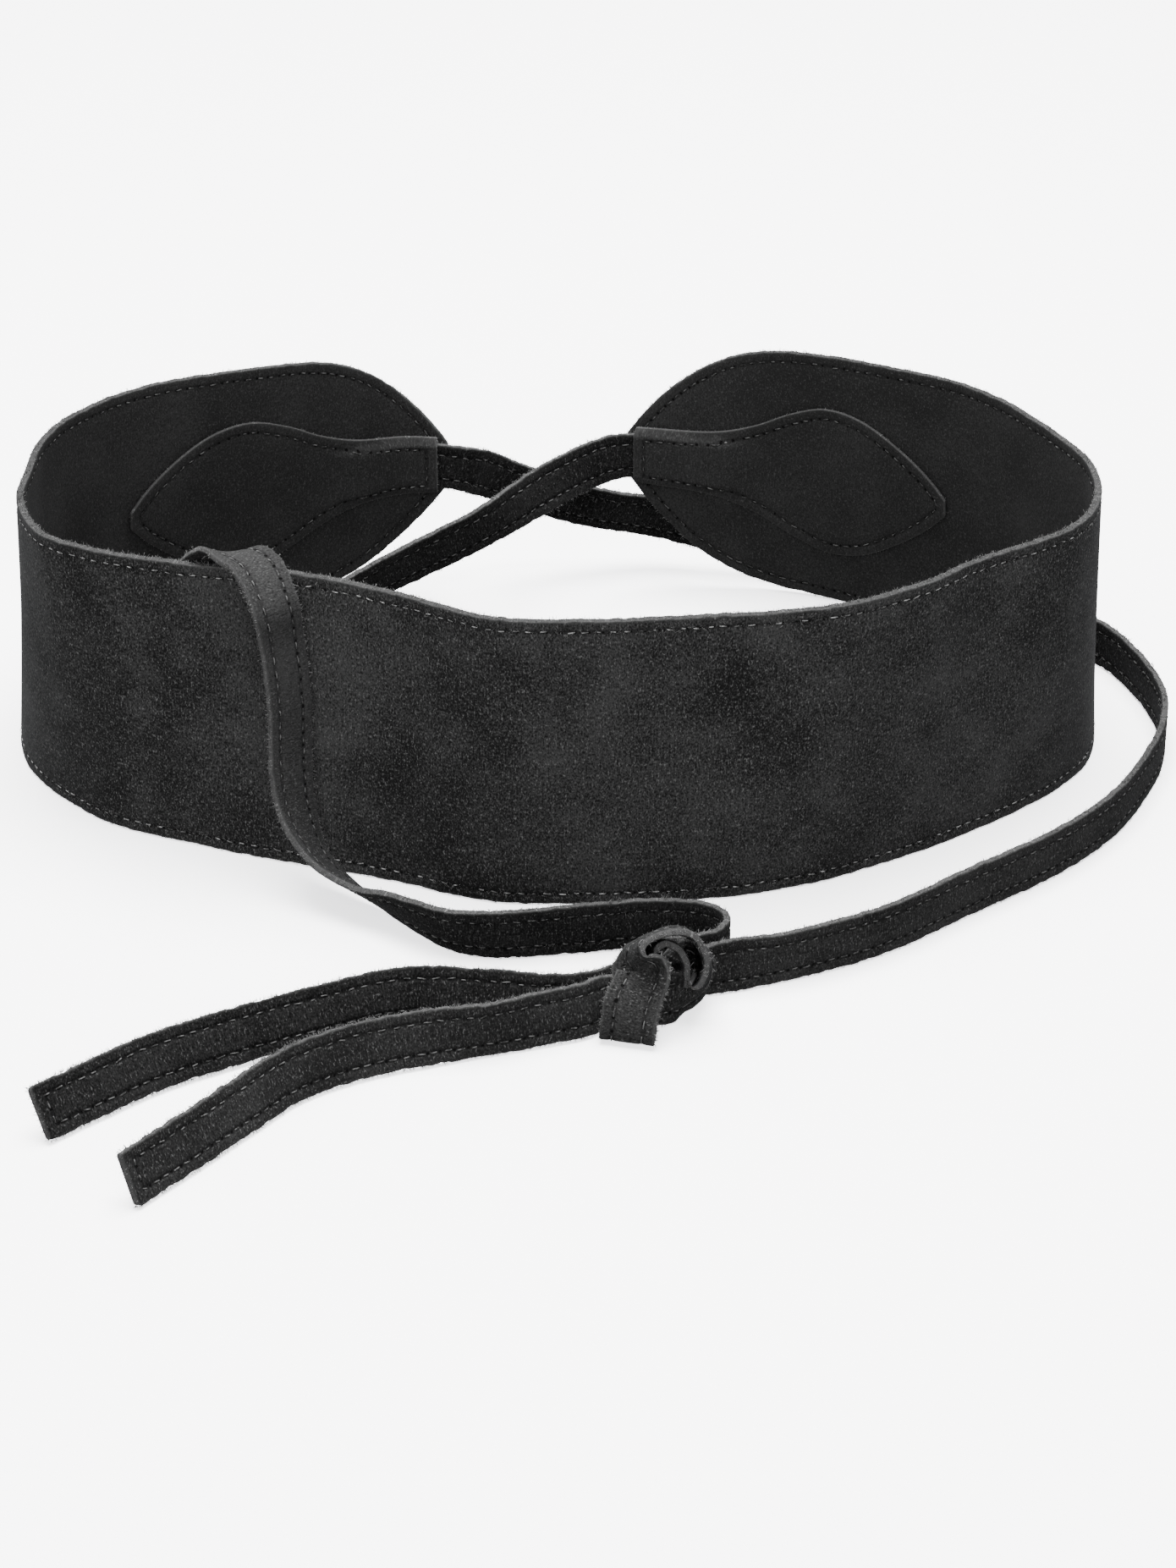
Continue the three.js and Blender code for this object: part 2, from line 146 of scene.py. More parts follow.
def on_wall(along, height, outwards):
    """Places on the wall: along from the left tip, up from the floor, out from its middle."""
    line = [np.interp(along, wall_run, column) for column in wall_points.T]
    slope = [np.interp(along, wall_run, column) for column in wall_slope.T]
    inwards = line[2] * (height / BAND_HEIGHT - 0.5) - outwards
    return np.stack([line[0] - slope[1] * inwards, line[1] + slope[0] * inwards, height], axis=1)


# The two ties are flat suede straps, two skins thick. Each is sewn in under a patch, along points at
# the SEWN_IN distances from the band's tip, and its route goes on from there to the free end.
# Columns: x, y and z of the strap's middle line, then the direction across the strap.
TIE_WIDTH = 0.014
TIE_THICKNESS = 0.0018
SEWN_GAP = 0.0005
SEWN_IN = (0.026, 0.021, 0.015, 0.009, 0.004)
LEFT_ROUTE = [
    (-0.0265, 0.0915, 0.0385, 0.1, 0, 1),
    (-0.0225, 0.097, 0.035, 0.2, 0.1, 1),
    (-0.011, 0.1015, 0.0285, 0.4, 0, 0.9),
    (0.009, 0.1055, 0.0205, 0.3, -0.15, 1),
    (0.029, 0.1075, 0.0162, 0.2, -0.15, 1),
    (0.056, 0.102, 0.0113, 0.2, 0, 1),
    (0.09, 0.09, 0.0073, 0, 0, 1),
    (0.12, 0.0725, 0.0071, 0, 0, 1),
    (0.143, 0.054, 0.0071, 0, 0, 1),
    (0.157, 0.038, 0.0071, 0, 0, 1),
    (0.165, 0.018, 0.0071, 0, 0, 1),
    (0.1688, -0.006, 0.0071, 0, 0, 1),
    (0.166, -0.025, 0.0071, 0, 0, 1),
    (0.161, -0.0395, 0.0071, 0, 0, 1),
    (0.149, -0.064, 0.0071, 0, 0, 1),
    (0.132, -0.085, 0.0071, 0, 0, 1),
    (0.1065, -0.107, 0.0071, 0, 0, 1),
    (0.082, -0.1275, 0.0071, 0, 0, 1),
    (0.059, -0.1395, 0.0071, 0, 0, 1),
    (0.046, -0.1438, 0.007, 0, 0.15, 1),
    (0.039, -0.1462, 0.0069, 0, 0.1, 1),
    (0.0345, -0.148, 0.007, 0, -0.1, 1),
    (0.0326, -0.1494, 0.0086, -0.35, -0.5, 0.8),
    (0.032, -0.152, 0.011, -0.3, -0.75, 0.6),
    (0.0316, -0.154, 0.0136, -0.05, -0.88, 0.47),
    (0.0308, -0.1544, 0.0162, 0, -0.88, 0.47),
    (0.029, -0.1544, 0.0183, 0, -0.88, 0.47),
    (0.0259, -0.1548, 0.0194, 0, -0.88, 0.47),
    (0.023, -0.156, 0.0189, 0.15, -0.9, 0.35),
    (0.0215, -0.1569, 0.0176, 0.5, -0.85, 0),
    (0.0209, -0.1592, 0.0154, 0.85, -0.45, -0.1),
    (0.0204, -0.1622, 0.0121, 0.96, -0.15, 0),
    (0.019, -0.1654, 0.0078, 0.97, -0.22, 0),
    (0.0182, -0.1676, 0.004, 0.97, -0.26, 0),
    (0.0177, -0.1692, 0.0014, 0.97, -0.26, 0),
    (0.0175, -0.171, 0.0018, 0.965, -0.26, 0),
    (0.0179, -0.1708, 0.0053, 0.97, -0.23, -0.03),
    (0.0187, -0.1687, 0.01, 0.97, -0.21, -0.05),
    (0.0208, -0.1652, 0.0136, 0.96, -0.27, 0.02),
    (0.0219, -0.1626, 0.0164, 0.86, -0.48, 0.1),
    (0.0198, -0.1612, 0.019, 0.5, -0.83, 0.25),
    (0.0206, -0.1598, 0.0219, 0.1, -0.88, 0.45),
    (0.0272, -0.1572, 0.0238, 0, -0.88, 0.47),
    (0.0324, -0.1552, 0.0221, 0, -0.88, 0.47),
    (0.0359, -0.1551, 0.018, 0, -0.88, 0.47),
    (0.0372, -0.1557, 0.0128, -0.15, -0.86, 0.48),
    (0.0362, -0.1557, 0.0088, -0.2, -0.85, 0.5),
    (0.0336, -0.1566, 0.0062, -0.2, -0.6, 0.78),
    (0.0296, -0.1594, 0.0068, -0.2, -0.05, 0.98),
    (0.0248, -0.1604, 0.0067, 0, 0.28, 0.96),
    (0.02, -0.1606, 0.0066, 0, 0.33, 0.94),
    (0.0155, -0.1617, 0.0066, 0, 0.33, 0.94),
    (0.011, -0.163, 0.0066, 0, 0.3, 0.95),
    (0.007, -0.166, 0.0068, -0.05, 0.27, 0.96),
    (0, -0.1687, 0.0069, -0.1, 0.25, 0.96),
    (-0.0155, -0.1748, 0.0071, -0.05, 0.1, 0.99),
    (-0.033, -0.1792, 0.0068, -0.1, 0.35, 0.93),
    (-0.0486, -0.1855, 0.0067, -0.2, 0.33, 0.93),
    (-0.0625, -0.1953, 0.0067, -0.27, 0.25, 0.93),
    (-0.0718, -0.207, 0.0067, -0.3, 0.25, 0.92),
    (-0.0846, -0.2245, 0.0067, -0.3, 0.22, 0.93),
    (-0.0973, -0.2407, 0.0067, -0.3, 0.22, 0.93),
]
RIGHT_ROUTE = [
    (0.0165, 0.096, 0.041, 0, 0.1, 1),
    (0.01, 0.0924, 0.0405, 0, 0.2, 1),
    (-0.004, 0.08, 0.0382, 0, 0.3, 1),
    (-0.023, 0.065, 0.032, 0, -0.1, 1),
    (-0.054, 0.045, 0.0238, 0, -0.25, 1),
    (-0.082, 0.025, 0.014, 0, -0.15, 1),
    (-0.104, 0.003, 0.0082, 0, 0, 1),
    (-0.119, -0.021, 0.01, 0, 0.1, 1),
    (-0.121, -0.038, 0.024, -0.4, 0.2, 0.8),
    (-0.11, -0.053, 0.05, -0.8, 0.1, 0.4),
    (-0.094, -0.0628, 0.074, -0.85, 0.1, 0.3),
    (-0.0845, -0.068, 0.0843, -0.85, -0.1, 0),
    (-0.077, -0.075, 0.0846, -0.8, -0.45, 0),
    (-0.0719, -0.0826, 0.0765, -0.76, -0.6, 0),
    (-0.0704, -0.0828, 0.066, -0.73, -0.68, 0),
    (-0.069, -0.0848, 0.05, -0.72, -0.69, 0),
    (-0.069, -0.0875, 0.033, -0.71, -0.68, 0.1),
    (-0.0676, -0.0912, 0.022, -0.6, -0.75, 0.2),
    (-0.0622, -0.0978, 0.012, -0.3, -0.9, 0.35),
    (-0.0518, -0.106, 0.0068, 0, -0.88, 0.47),
    (-0.044, -0.1122, 0.0061, 0, -0.7, 0.7),
    (-0.0356, -0.1202, 0.0066, 0, -0.5, 0.87),
    (-0.0276, -0.1266, 0.007, 0, -0.3, 0.95),
    (-0.0177, -0.1293, 0.0071, 0, -0.1, 1),
    (0.0054, -0.1263, 0.0071, 0, 0, 1),
    (0.0192, -0.124, 0.0071, 0, 0, 1),
    (0.033, -0.1238, 0.0071, 0, 0, 1),
    (0.041, -0.1275, 0.0071, 0, 0, 1),
    (0.043, -0.133, 0.0071, 0, 0, 1),
    (0.04, -0.1385, 0.0071, 0, 0, 1),
    (0.033, -0.1426, 0.0069, 0, 0.2, 0.98),
    (0.027, -0.1444, 0.0066, 0, 0.4, 0.92),
    (0.022, -0.1464, 0.0064, -0.15, 0.45, 0.88),
    (0.0193, -0.1502, 0.0061, -0.42, 0.28, 0.86),
    (0.0178, -0.1542, 0.006, -0.5, 0.2, 0.84),
    (0.0147, -0.1572, 0.0062, -0.3, 0.35, 0.88),
    (0.0105, -0.1595, 0.0065, -0.1, 0.3, 0.94),
    (0.005, -0.1612, 0.0066, 0, 0.36, 0.93),
    (-0.004, -0.1613, 0.0066, 0, 0.4, 0.92),
    (-0.016, -0.1594, 0.0066, 0, 0.45, 0.9),
    (-0.036, -0.1578, 0.0064, 0, 0.5, 0.87),
    (-0.0585, -0.1672, 0.0064, -0.2, 0.45, 0.87),
    (-0.0785, -0.178, 0.0064, -0.25, 0.45, 0.87),
    (-0.096, -0.1893, 0.0064, -0.3, 0.4, 0.87),
    (-0.11, -0.202, 0.0064, -0.35, 0.35, 0.87),
    (-0.121, -0.2127, 0.0064, -0.35, 0.35, 0.87),
]


def tie_line(route, from_right):
    """The fine middle line of a tie, the directions across it and out of its face, and its run."""
    sewn = np.array(SEWN_IN)
    depth = -(BAND_WALL / 2 + SEWN_GAP + TIE_THICKNESS / 2)
    place = BAND_LENGTH - sewn if from_right else sewn
    hidden = on_wall(place, np.full(len(sewn), BAND_HEIGHT / 2), np.full(len(sewn), depth))
    upright = np.tile((0.0, 0.0, 1.0), (len(sewn), 1))
    route = np.array(route)
    middle = smooth(np.vstack([hidden, route[:, :3]]))
    across = smooth(np.vstack([upright, route[:, 3:]]))
    onward = np.gradient(middle, axis=0)
    onward /= np.linalg.norm(onward, axis=1)[:, None]
    across -= onward * (across * onward).sum(axis=1)[:, None]
    across /= np.linalg.norm(across, axis=1)[:, None]
    face = np.cross(onward, across)
    reach = abs(across[:, 2]) * TIE_WIDTH / 2 + abs(face[:, 2]) * TIE_THICKNESS / 2
    middle[:, 2] = np.maximum(middle[:, 2], reach)
    return middle, across, face, run_of(middle)


def on_tie(line):
    """A function that lays flat places (along, across, out) on the strap's line."""
    middle, across, face, run = line

    def lay(flat):
        at = [
            np.stack([np.interp(flat[:, 0], run, column) for column in part.T], axis=1)
            for part in (middle, across, face)
        ]
        past = np.maximum(flat[:, 0] - run[-1], 0) + np.minimum(flat[:, 0], 0)
        onward = np.cross(at[1], at[2])
        return at[0] + at[1] * flat[:, 1:2] + at[2] * flat[:, 2:3] + onward * past[:, None]

    return lay


def spots_of(piece):
    """The places of a mesh's vertices."""
    spots = np.zeros(len(piece.data.vertices) * 3)
    piece.data.vertices.foreach_get("co", spots)
    return spots.reshape(-1, 3)


def move_to(piece, spots):
    """Puts a mesh's vertices at new places."""
    piece.data.vertices.foreach_set("co", np.ascontiguousarray(spots, dtype=float).ravel())
    piece.data.update()


def cut_across(piece, choose, cuts):
    """Cuts up the edges that are chosen by how far each reaches along X, Y and Z."""
    bpy.ops.object.mode_set(mode="EDIT")
    bpy.ops.mesh.select_mode(type="EDGE")
    bpy.ops.mesh.select_all(action="DESELECT")
    bpy.ops.object.mode_set(mode="OBJECT")
    spots = spots_of(piece)
    ends = np.zeros(len(piece.data.edges) * 2, dtype=np.int32)
    piece.data.edges.foreach_get("vertices", ends)
    reach = abs(spots[ends[::2]] - spots[ends[1::2]])
    piece.data.edges.foreach_set("select", choose(reach))
    bpy.ops.object.mode_set(mode="EDIT")
    bpy.ops.mesh.subdivide(number_cuts=cuts)
    bpy.ops.object.mode_set(mode="OBJECT")


def cut_skin(name, length, width, thickness, cuts, soft):
    """A flat skin with softened edges, cut up finely enough to bend, lying along X from 0.

    The cuts are the parts that it is divided into again and again, along it and across it.
    """
    bpy.ops.object.select_all(action="DESELECT")
    bpy.ops.mesh.primitive_cube_add(size=1, location=(length / 2, 0, 0))
    skin = bpy.context.object
    skin.name = skin.data.name = name
    skin.scale = (length, width, thickness)
    bpy.ops.object.transform_apply(location=True, rotation=False, scale=True)
    edge = skin.modifiers.new("soft edge", "BEVEL")
    edge.width = soft
    edge.segments = 3
    bpy.ops.object.modifier_apply(modifier="soft edge")
    for axis, size, parts in ((1, width, cuts[1]), (0, length, cuts[0])):
        for number in parts:

            def longest(reach, axis=axis, least=size * 0.55):
                """The edges that run straight along the axis and aren't cut yet."""
                straight = (reach[:, 1 - axis] < TOUCHING) & (reach[:, 2] < TOUCHING)
                return straight & (reach[:, axis] > least)

            cut_across(skin, longest, number - 1)
            size /= number
    return skin


def chart(piece, name, columns):
    """Writes a UV map from two values per vertex."""
    corner = np.zeros(len(piece.data.loops), dtype=np.int32)
    piece.data.loops.foreach_get("vertex_index", corner)
    chart_map = piece.data.uv_layers.new(name=name)
    chart_map.data.foreach_set("uv", np.ascontiguousarray(columns[corner], dtype=float).ravel())


OUTLINE_STEP = 0.0003


def outline_of(corners):
    """A closed cut line through the corners, as close points with their run and inward normal."""
    corners = np.vstack([corners, corners[:1]])
    run = run_of(corners)
    at = np.linspace(0, run[-1], int(run[-1] / OUTLINE_STEP), endpoint=False)
    points = np.stack([np.interp(at, run, column) for column in corners.T], axis=1)
    ahead = np.roll(points, -3, axis=0) - np.roll(points, 3, axis=0)
    ahead /= np.linalg.norm(ahead, axis=1)[:, None]
    return points, at, np.stack([-ahead[:, 1], ahead[:, 0]], axis=1)


def search(points):
    """A search tree of the points of a cut line."""
    tree = kdtree.KDTree(len(points))
    for index, point in enumerate(points):
        tree.insert((point[0], point[1], 0), index)
    tree.balance()
    return tree


def seam_chart(piece, flat, outline):
    """Charts each vertex by its run along the nearest cut edge and its distance from it."""
    points, run, _ = outline
    tree = search(points)
    found = [tree.find((x, y, 0)) for x, y in flat[:, :2]]
    columns = np.array([(run[index], distance) for _, index, distance in found])
    chart(piece, "seam", columns)
    return columns


def outline_between(length, half, steps):
    """The cut line of a skin that reaches as far to both sides of its middle as half says."""
    along = np.linspace(0, length, steps)
    lower = np.stack([along, -half(along)], axis=1)
    upper = np.stack([along[::-1], half(along[::-1])], axis=1)
    return outline_of(np.vstack([lower, upper]))


# The thread is a fine grey twist. One stitch is a short bent length of it that dips into the skins
# at both ends, and rows of stitches run a few millimetres inside every cut edge. No two stitches lie
# quite alike, and short fibres stand out of the cut edges and round the needle's holes.
STITCH_INSET = 0.0032
STITCH_PITCH = 0.0035
STITCH_LENGTH = 0.0029
STITCH_RISE = 0.00014
STITCH_DIP = 0.0007
STITCH_BED = 0.0002
STITCH_SINK = 0.00022
STITCH_SHARES = (0.66, 1.04)
STITCH_DRIFT = 0.0002
STITCH_STRAY = 0.0001
STITCH_TURN = 0.11
STITCH_SIDES = 5
STITCH_CUTS = 4
STITCH_TAPER = 0.5
ROW_SPAN = 0.0008
ROW_MARGIN = 0.97
THREAD = 0.00034
HAIR_ROOT = 0.0002
HAIR_TIP = 0.12
HAIR_TURN = 0.6
HAIR_RISE = 0.5
HAIR_SHARES = (0.25, 1)
HAIR_WIDTHS = (0.0001, 0.00022)
PULLED_SPREAD = 0.0004
PULLED_RISES = (0.05, 0.5)
PULLED_SHARES = (0.3, 1)
PULLED_WIDTHS = (0.00007, 0.00014)


def one_stitch():
    """A single stitch along X, bent so that its ends go down into the suede."""
    bpy.ops.object.select_all(action="DESELECT")
    bpy.ops.mesh.primitive_cylinder_add(
        vertices=STITCH_SIDES,
        radius=THREAD / 2,
        depth=STITCH_LENGTH,
        rotation=(0, math.pi / 2, 0),
    )
    stitch = bpy.context.object
    bpy.ops.object.transform_apply(location=False, rotation=True, scale=False)
    cut_across(stitch, lambda reach: reach[:, 0] > STITCH_LENGTH / 2, STITCH_CUTS)
    spots = spots_of(stitch)
    share = spots[:, 0] / (STITCH_LENGTH / 2)
    spots[:, 1:] *= (1 - STITCH_TAPER * share**4)[:, None]
    spots[:, 2] += STITCH_RISE - STITCH_DIP * share**4
    move_to(stitch, spots)
    return stitch


def one_hair():
    """A single stray fibre along X, thin and tapering."""
    bpy.ops.object.select_all(action="DESELECT")
    bpy.ops.mesh.primitive_cone_add(
        vertices=3,
        radius1=0.5,
        radius2=HAIR_TIP,
        depth=1,
        location=(0.5, 0, 0),
        rotation=(0, math.pi / 2, 0),
    )
    hair = bpy.context.object
    bpy.ops.object.transform_apply(location=True, rotation=True, scale=False)
    return hair


def copies(name, model, places):
    """One mesh of copies of the model. Each place is a point and three directions on the flat skin."""
    spots = spots_of(model)
    starts = [list(face.vertices) for face in model.data.polygons]
    points, along, across, out = (np.array(part) for part in zip(*places))
    laid = (
        points[:, None, :]
        + spots[None, :, 0:1] * along[:, None, :]
        + spots[None, :, 1:2] * across[:, None, :]
        + spots[None, :, 2:3] * out[:, None, :]
    ).reshape(-1, 3)
    count = len(spots)
    faces = [[index + count * copy for index in face] for copy in range(len(points)) for face in starts]
    mesh = bpy.data.meshes.new(name)
    mesh.from_pydata(laid.tolist(), [], faces)
    piece = bpy.data.objects.new(name, mesh)
    bpy.context.collection.objects.link(piece)
    bpy.ops.object.select_all(action="DESELECT")
    bpy.context.view_layer.objects.active = piece
    piece.select_set(True)
    bpy.ops.object.shade_smooth()
    return piece


def sewing(outline, thickness, sides):
    """Places of the stitches in a row inside a cut line: side 1 is the outer face, -1 the inner."""
    points, _, inward = outline
    tree = search(points)
    row = points + inward * STITCH_INSET
    kept = np.array([tree.find((x, y, 0))[2] > STITCH_INSET * ROW_MARGIN for x, y in row])
    row = row[kept]
    row_run = run_of(row)
    depth = thickness / 2 - STITCH_BED
    places = []
    for at in np.arange(STITCH_PITCH, row_run[-1], STITCH_PITCH):
        for side in sides:
            near = at + random.gauss(0, STITCH_DRIFT)
            x, y = (np.interp(near, row_run, column) for column in row.T)
            ahead = [np.interp(near + ROW_SPAN, row_run, column) for column in row.T]
            behind = [np.interp(near - ROW_SPAN, row_run, column) for column in row.T]
            turn = math.atan2(ahead[1] - behind[1], ahead[0] - behind[0])
            turn += random.gauss(0, STITCH_TURN)
            size = random.uniform(*STITCH_SHARES)
            sunk = STITCH_SINK * random.random() ** 2
            y += random.gauss(0, STITCH_STRAY)
            forward = (math.cos(turn) * size, math.sin(turn) * size, 0)
            sideways = (-math.sin(turn) * side, math.cos(turn) * side, 0)
            places.append(((x, y, side * (depth - sunk)), forward, sideways, (0, 0, side)))
    return places


def stray_hairs(outline, thickness, each_mm, longest):
    """Places of the fibres that stand out of a cut edge."""
    points, run, inward = outline
    places = []
    for _ in range(int(run[-1] * 1000 * each_mm)):
        index = random.randrange(len(points))
        lift = random.uniform(-0.5, 0.5) * thickness
        turn = random.gauss(0, HAIR_TURN)
        rise = random.gauss(0, HAIR_RISE)
        out = -inward[index]
        side = np.array([-out[1], out[0]])
        way = out * math.cos(turn) + side * math.sin(turn)
        length = longest * random.uniform(*HAIR_SHARES) ** 1.6
        width = random.uniform(*HAIR_WIDTHS)
        forward = np.array([way[0] * math.cos(rise), way[1] * math.cos(rise), math.sin(rise)])
        sideways = np.array([-way[1], way[0], 0.0])
        upward = np.cross(forward, sideways)
        start = (*(points[index] - out * HAIR_ROOT), lift)
        places.append((start, forward * length, sideways * width, upward * width))
    return places


def pulled_hairs(outline, thickness, each_mm, longest):
    """Places of the light fibres that the needle has pulled up along a row of stitches."""
    points, run, inward = outline
    places = []
    for _ in range(int(run[-1] * 1000 * each_mm)):
        index = random.randrange(len(points))
        inset = STITCH_INSET + random.gauss(0, PULLED_SPREAD)
        spot = points[index] + inward[index] * inset
        turn = random.uniform(0, 2 * math.pi)
        rise = random.uniform(*PULLED_RISES)
        forward = np.array([math.cos(turn), math.sin(turn), rise])
        sideways = np.array([-math.sin(turn), math.cos(turn), 0.0])
        upward = np.cross(forward, sideways)
        length = longest * random.uniform(*PULLED_SHARES)
        width = random.uniform(*PULLED_WIDTHS)
        start = (*spot, thickness / 2)
        places.append((start, forward * length, sideways * width, upward * width))
    return places


# Suede is a soft black nap with grey flecks, brushed in patches. Its shader is written once here, and
# each finish is mixed from it: the outer face, the flat black inner face, and the raw cut edge.
class Wire:
    """A socket of a material's nodes, on which plain sums can be written."""

    def __init__(self, tree, socket):
        self.tree = tree
        self.socket = socket

    def node(self, kind, settings=(), inputs=(), output=0):
        made = self.tree.nodes.new(kind)
        for setting, value in dict(settings).items():
            setattr(made, setting, value)
        for place, value in dict(inputs).items():
            if isinstance(value, Wire):
                self.tree.links.new(value.socket, made.inputs[place])
            else:
                made.inputs[place].default_value = value
        return Wire(self.tree, made.outputs[output])

    def math(self, operation, *values):
        return self.node("ShaderNodeMath", {"operation": operation}, enumerate(values))

    def __add__(self, other):
        return self.math("ADD", self, other)

    def __mul__(self, other):
        return self.math("MULTIPLY", self, other)

    def __sub__(self, other):
        return self.math("SUBTRACT", self, other)

    def alone(self, operation):
        return self.math(operation, self)

    def step(self, low, high):
        """Goes smoothly from 0 at low to 1 at high."""
        settings = {"interpolation_type": "SMOOTHSTEP"}
        return self.node("ShaderNodeMapRange", settings, {0: self, 1: low, 2: high})

    def mix(self, first, second):
        """A colour between two colours, by this value."""
        settings = {"data_type": "RGBA"}
        return self.node("ShaderNodeMix", settings, {0: self, 6: first, 7: second}, output=2)


def grey(level):
    """A colour socket's value from a display grey of 0 to 255."""
    linear = ((level / 255 + 0.055) / 1.055) ** 2.4
    return (linear, linear, linear, 1)


BRUSHED_SCALE = 22
CLOUD_SCALE = 75
FINE_SCALE = 3200
WORN_RAGGED = 0.0016
WORN_REACH = (0.0007, 0.0001)
GROOVE_SHADE_REACH = (0.0009, 0.0002)
HOLE_REACH = (0.00055, 0.00025)
HOLE_SHADE_GREY = 6
NAP_DEPTH = 0.0003


def suede(name, dark, light, fleck, sheen, grain_size=0.0004, sewn=True):
    """A suede finish. Its greys are display levels. A sewn one shows the needle's holes, with painted shade
    in them.
    """
    material = bpy.data.materials.new(name)
    material.use_nodes = True
    tree = material.node_tree
    shader = tree.nodes["Principled BSDF"]
    start = Wire(tree, None)
    skin = start.node("ShaderNodeUVMap", {"uv_map": "skin"})
    seam = start.node("ShaderNodeUVMap", {"uv_map": "seam"})
    solid = start.node("ShaderNodeTexCoord", output=3)
    run = start.node("ShaderNodeSeparateXYZ", (), {0: seam})
    inset = start.node("ShaderNodeSeparateXYZ", (), {0: seam}, output=1)

    def noise_at(place, scale, detail, stretch=(1, 1, 1)):
        turned = start.node("ShaderNodeMapping", (), {0: place, 3: stretch})
        inputs = {"Vector": turned, "Scale": scale, "Detail": detail, "Roughness": 0.6}
        return start.node("ShaderNodeTexNoise", (), inputs)

    # The nap: brushed areas, smaller clouds, the grain with its long fibres, and fine dust.
    brushed = noise_at(solid, BRUSHED_SCALE, 3)
    cloud = noise_at(solid, CLOUD_SCALE, 3)
    grain = noise_at(skin, 1 / grain_size, 2, (1, 0.6, 1))
    fibre = noise_at(skin, 0.5 / grain_size, 3, (1, 0.4, 1))
    fine = noise_at(solid, FINE_SCALE, 2)
    tone = (grain - 0.5) * 2.4 + (fibre - 0.5) * 1.2 + (cloud - 0.5) * 0.7 + (brushed - 0.5) * 1.1 + 0.5
    colour = tone.step(0.05, 0.95).mix(grey(dark), grey(light))
    flecks = (grain * 1.4 + fibre + fine * 0.6).step(1.66, 1.9)
    colour = flecks.mix(colour, grey(fleck))

    # The cut edge is worn lighter, and the row of stitches is pressed in, with painted shade darkening its
    # groove.
    worn = (inset + (grain - 0.5) * WORN_RAGGED).step(*WORN_REACH)
    colour = (worn * 0.35).mix(colour, grey(fleck))
    from_row = (inset - STITCH_INSET).alone("ABSOLUTE")
    groove_and_shade = from_row.step(*GROOVE_SHADE_REACH)
    # Painted shade: the pressed groove along the stitch row is painted darker.
    colour = (groove_and_shade * 0.45).mix(colour, grey(dark * 0.7))
    height = grain * 0.5 + fibre * 0.5 + fine * 0.25 - groove_and_shade * 0.5
    if sewn:
        beat = (run * (1 / STITCH_PITCH)).alone("FRACT")
        ahead = (beat - 0.5).alone("ABSOLUTE") * STITCH_PITCH
        away = (ahead * ahead + from_row * from_row).alone("SQRT")
        # Painted shade: each needle's hole is painted nearly black, and it also dips the bump.
        holes = away.step(*HOLE_REACH)
        colour = (holes * 0.85).mix(colour, grey(HOLE_SHADE_GREY))
        height = height - holes * 1.5
    inputs = {"Strength": 0.9, "Distance": NAP_DEPTH, "Height": height}
    bump = start.node("ShaderNodeBump", (), inputs)
    tree.links.new(colour.socket, shader.inputs["Base Color"])
    tree.links.new(bump.socket, shader.inputs["Normal"])
    shader.inputs["Roughness"].default_value = 0.95
    shader.inputs["Specular IOR Level"].default_value = 0.12
    shader.inputs["Sheen Weight"].default_value = sheen
    shader.inputs["Sheen Roughness"].default_value = 0.45
    shader.inputs["Sheen Tint"].default_value = (0.75, 0.77, 0.8, 1)
    return material


def plain_fibre(name, level, other):
    """The finish of thread and of stray fibres, which changes between two greys."""
    material = bpy.data.materials.new(name)
    material.use_nodes = True
    tree = material.node_tree
    shader = tree.nodes["Principled BSDF"]
    start = Wire(tree, None)
    solid = start.node("ShaderNodeTexCoord", output=3)
    change = start.node("ShaderNodeTexNoise", (), {"Vector": solid, "Scale": 900.0, "Detail": 1.0})
    colour = change.step(0.35, 0.65).mix(grey(level), grey(other))
    tree.links.new(colour.socket, shader.inputs["Base Color"])
    shader.inputs["Roughness"].default_value = 0.8
    shader.inputs["Sheen Weight"].default_value = 0.3
    return material


outer_suede = suede("charcoal suede", dark=26, light=75, fleck=120, sheen=0.07)
inner_suede = suede("flat black suede", dark=46, light=66, fleck=84, sheen=0.02)
raw_edge = suede("raw suede edge", 10, 42, 120, 0.03, grain_size=0.0005, sewn=False)
tie_suede = suede("tie suede", dark=16, light=48, fleck=96, sheen=0.04)
# A lighter copy of the tie suede. It is painted light for the stretch where the right tie hangs down the
# front.
tie_painted_light = suede("tie suede with painted light", dark=42, light=68, fleck=96, sheen=0.04)
tie_brushed = suede("brushed tie suede", dark=29, light=60, fleck=106, sheen=0.04)
tie_edge = suede("tie raw edge", 10, 52, 140, 0.04, grain_size=0.0005, sewn=False)
grey_thread = plain_fibre("grey thread", 95, 190)
black_thread = plain_fibre("dark thread", 34, 110)
grey_hair = plain_fibre("stray grey fibre", 30, 150)
black_hair = plain_fibre("stray dark fibre", 20, 140)
stitch = one_stitch()
hair = one_hair()
RAW_EDGE = 0.0006
RAW_SHARE = 0.42
BACK_FINISH = 1
EDGE_FINISH = 2


def finish_piece(piece, materials, thickness, flat, columns, back_run=(-math.inf, math.inf)):
    """Gives the faces their finishes: outer face, inner face where it differs, and cut edge."""
    for material in materials:
        piece.data.materials.append(material)
    for face in piece.data.polygons:
        along, _, depth = flat[list(face.vertices)].mean(axis=0)
        inset = columns[list(face.vertices), 1].mean()
        if abs(depth) < thickness * RAW_SHARE and inset < RAW_EDGE:
            face.material_index = EDGE_FINISH
        elif depth < 0 and back_run[0] < along < back_run[1]:
            face.material_index = BACK_FINISH
    bpy.ops.object.select_all(action="DESELECT")
    bpy.context.view_layer.objects.active = piece
    piece.select_set(True)
    bpy.ops.object.shade_smooth()


def attach(piece):
    """The whole belt is one soft body, so every piece rides on it."""
    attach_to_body(piece, "root")


